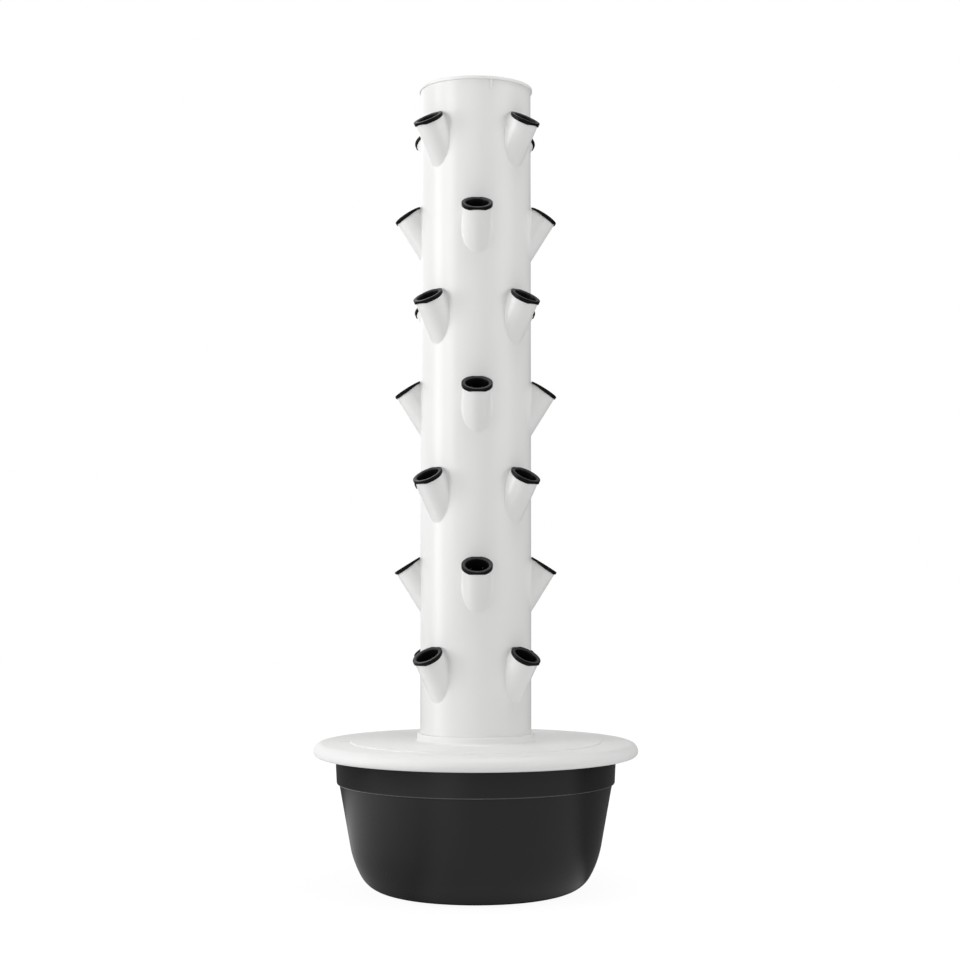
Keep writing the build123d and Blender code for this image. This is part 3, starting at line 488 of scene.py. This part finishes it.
def cup_faces(names, across):
    """Quads between a cup's rows and columns. The quads in the slots are left out, and walls join the slot's
    outline on the outside of the cup to the one on its inside."""
    corner = np.arange(len(names) * across).reshape(len(names), across)
    right = np.roll(corner, -1, axis=1)
    skin = np.stack([corner[:-1], right[:-1], right[1:], corner[1:]], axis=-1)
    keep = np.ones(skin.shape[:2], bool)
    walls = []
    first, last = CUP_SLOT_EDGES
    every_slot = np.arange(CUP_SLOTS) * len(CUP_COLUMNS)
    for slot in (("slot_foot", "slot_middle", "slot_head"), ("floor_slot_in", "floor_slot_out")):
        out = np.array([names.index(row) for row in slot])
        ins = np.array([names.index("inner_" + row) for row in slot])
        for column in (first, last):
            a, b = corner[out][:, every_slot + column], corner[ins][:, every_slot + column]
            walls.append(np.stack([a[:-1], a[1:], b[1:], b[:-1]], axis=-1).reshape(-1, 4))
        for column in range(first, last):
            at = every_slot + column
            for start in (out[0], ins[-1]):
                keep[start : start + len(slot) - 1, at] = False
            for end in (0, -1):
                a, b = corner[out[end]], corner[ins[end]]
                walls.append(np.stack([a[at], a[at + 1], b[at + 1], b[at]], axis=-1))
    return np.concatenate([skin[keep], *walls])


def make_cup(name, points, faces, painted_sheen):
    """One net cup from its points in millimetres: its poles are closed and its faces point outwards."""
    mesh = bpy.data.meshes.new(name)
    mesh.from_pydata((points * MM).tolist(), [], faces.tolist())
    # The painted sheen rides on the points as an attribute that the cup's material reads
    mesh.attributes.new("painted_sheen", "FLOAT", "POINT").data.foreach_set("value", painted_sheen.astype(np.float32))
    shell = bmesh.new()
    shell.from_mesh(mesh)
    bmesh.ops.remove_doubles(shell, verts=shell.verts, dist=CUP_MERGE * MM)
    bmesh.ops.recalc_face_normals(shell, faces=shell.faces)
    shell.to_mesh(mesh)
    shell.free()
    mesh.shade_smooth()
    mesh.set_sharp_from_angle(angle=CUP_SHARP)
    mesh.materials.append(cup_black)
    cup = bpy.data.objects.new(name, mesh)
    bpy.context.scene.collection.objects.link(cup)
    return cup


# Net cups: one section carried round the axis of every mouth. Each row of mouths is turned by half a step
# against the next, and a cup's angles are counted from its rim's lowest point, which lies between two slots
slot_middles = (np.arange(CUP_SLOTS) + 0.5) * 2 * math.pi / CUP_SLOTS
cup_angles = (slot_middles[:, None] + np.radians(CUP_COLUMNS)).ravel()
(cup_radius, cup_height, cup_painted_sheen), cup_rows = cup_section(cup_angles)
cup_quads = cup_faces(cup_rows, len(cup_angles))
upwards = np.array([0.0, 0.0, 1.0])
for row in range(MOUTH_ROWS):
    for port in range(MOUTHS_IN_ROW):
        half_step = 0.5 * ((row + 1) % 2)
        turn = 2 * math.pi * (port + half_step) / MOUTHS_IN_ROW
        outwards = np.array([math.cos(turn), math.sin(turn), 0.0])
        axis = math.sin(MOUTH_LEAN) * outwards + math.cos(MOUTH_LEAN) * upwards
        front = math.cos(MOUTH_LEAN) * outwards - math.sin(MOUTH_LEAN) * upwards
        middle = MOUTH_REACH * outwards + (LOWEST_MOUTH + MOUTH_PITCH * row) * upwards
        ray = np.cos(cup_angles)[:, None] * front + np.sin(cup_angles)[:, None] * np.cross(axis, front)
        points = middle + cup_height[..., None] * axis + cup_radius[..., None] * ray
        node = f"net_cup_r{row + 1}_p{port + 1}"
        cup = make_cup(f"rimmed_{node}", points.reshape(-1, 3), cup_quads, cup_painted_sheen.ravel())
        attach(cup, node)
        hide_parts(node)


def soft_box(name, place, size, power):
    """A rectangular lamp at a place, turned to face the middle of the tower."""
    lamp = bpy.data.lights.new(name, "AREA")
    lamp.shape = "RECTANGLE"
    lamp.size, lamp.size_y = size
    lamp.energy = power
    lamp.specular_factor = 0.0 if name in FILLS else 1.0
    holder = bpy.data.objects.new(name, lamp)
    holder.location = place
    holder.rotation_euler = (Vector(AIM) - Vector(place)).to_track_quat("-Z", "Y").to_euler()
    bpy.context.scene.collection.objects.link(holder)


for lamp_name, (place, size, power) in LAMPS.items():
    soft_box(lamp_name, place, size, power)


def strength_by_ray(tree, lights, seen, mirrored):
    """The studio's strength for each kind of ray: what lights the tower, what the camera and glass see, and
    what gloss sees."""
    path = add_node(tree, "ShaderNodeLightPath").outputs
    level = lights
    for ray, value in (("Is Camera Ray", seen), ("Is Transmission Ray", seen), ("Is Glossy Ray", mirrored)):
        level = add_node(
            tree, "ShaderNodeMix", {"Factor": path[ray], "A": level, "B": value}, data_type="FLOAT"
        ).outputs["Result"]
    return level


# Surroundings: white to the camera and through glass, and an even grey as a light
world = bpy.data.worlds.new("studio")
bpy.context.scene.world = world
world.use_nodes = True
tree = world.node_tree
tree.nodes.clear()
heading = add_node(tree, "ShaderNodeTexCoord").outputs["Generated"]
across = add_node(tree, "ShaderNodeSeparateXYZ", {"Vector": heading}).outputs["X"]
mirrored = add_node(
    tree,
    "ShaderNodeMapRange",
    fade(WORLD_MIRRORED_OVER, WORLD_MIRRORED, across),
    interpolation_type="SMOOTHSTEP",
).outputs["Result"]
strength = strength_by_ray(tree, AMBIENT, 1.0, mirrored)
white = add_node(tree, "ShaderNodeBackground", {"Color": (1, 1, 1, 1), "Strength": strength})
add_node(tree, "ShaderNodeOutputWorld", {"Surface": white.outputs[0]})

# Floor: a sheet whose own glow makes it as white as the surroundings, apart from the tower's faint shadow
corners = np.array([[-1, -1, 0], [1, -1, 0], [1, 1, 0], [-1, 1, 0]]) * FLOOR_HALF
floor_mesh = bpy.data.meshes.new("floor")
floor_mesh.from_pydata(corners.tolist(), [], [[0, 1, 2, 3]])
floor = bpy.data.objects.new("floor", floor_mesh)
bpy.context.scene.collection.objects.link(floor)
floor_paper, tree, out = new_material("white_paper_floor")
spot = add_node(tree, "ShaderNodeTexCoord").outputs["Object"]
across = add_node(tree, "ShaderNodeSeparateXYZ", {"Vector": spot}).outputs["X"]
radius = add_node(tree, "ShaderNodeVectorMath", {0: spot}, operation="LENGTH").outputs["Value"]
from_patch = add_node(
    tree, "ShaderNodeVectorMath", {0: spot, 1: PATCH_CENTRE}, operation="DISTANCE"
).outputs["Value"]
heading = add_node(tree, "ShaderNodeVectorMath", {0: spot}, operation="NORMALIZE").outputs["Vector"]
forwards = add_node(
    tree, "ShaderNodeVectorMath", {0: heading, 1: GREY_MIDDLE}, operation="DOT_PRODUCT"
).outputs["Value"]
seen, patch = (
    add_node(tree, "ShaderNodeMapRange", fade(*line)).outputs["Result"]
    for line in (
        (FLOOR_SEEN_OVER, FLOOR_SEEN, radius),
        (PATCH_MIRRORED_OVER, PATCH_MIRRORED, across),
    )
)
patch_ends, foot_ends, grey = (
    add_node(tree, "ShaderNodeMapRange", fade(*curve), interpolation_type="SMOOTHSTEP").outputs["Result"]
    for curve in (
        (PATCH_ENDS_OVER, (1.0, 0.0), from_patch),
        (FOOT_DARK_OVER, (0.0, 1.0), radius),
        (GREY_MIRRORED_OVER, GREY_MIRRORED, forwards),
    )
)
lit = add_node(
    tree, "ShaderNodeMath", {0: patch, 1: patch_ends, 2: grey}, operation="MULTIPLY_ADD"
).outputs["Value"]
mirrored = add_node(tree, "ShaderNodeMath", {0: lit, 1: foot_ends}, operation="MULTIPLY").outputs["Value"]
strength = strength_by_ray(tree, FLOOR_BOUNCE, seen, mirrored)
glow = add_node(tree, "ShaderNodeEmission", {"Color": (1, 1, 1, 1), "Strength": strength})
paper = add_node(tree, "ShaderNodeBsdfDiffuse", {"Color": linear(FLOOR_PAPER)})
sheet = add_node(tree, "ShaderNodeAddShader", {0: paper.outputs[0], 1: glow.outputs[0]})
tree.links.new(sheet.outputs[0], out.inputs["Surface"])
floor_mesh.materials.append(floor_paper)

# Camera
turn = math.radians(CAMERA_AZIMUTH)
stand = Vector((-CAMERA_DISTANCE * math.sin(turn), -CAMERA_DISTANCE * math.cos(turn), CAMERA_HEIGHT))
camera_data = bpy.data.cameras.new("camera")
camera_data.lens = LENS
camera_data.sensor_width = SENSOR
camera = bpy.data.objects.new("camera", camera_data)
camera.location = stand
camera.rotation_euler = (Vector(LOOK_AT) - stand).to_track_quat("-Z", "Y").to_euler()
bpy.context.scene.collection.objects.link(camera)
bpy.context.scene.camera = camera
bpy.context.scene.view_settings.view_transform = "Standard"
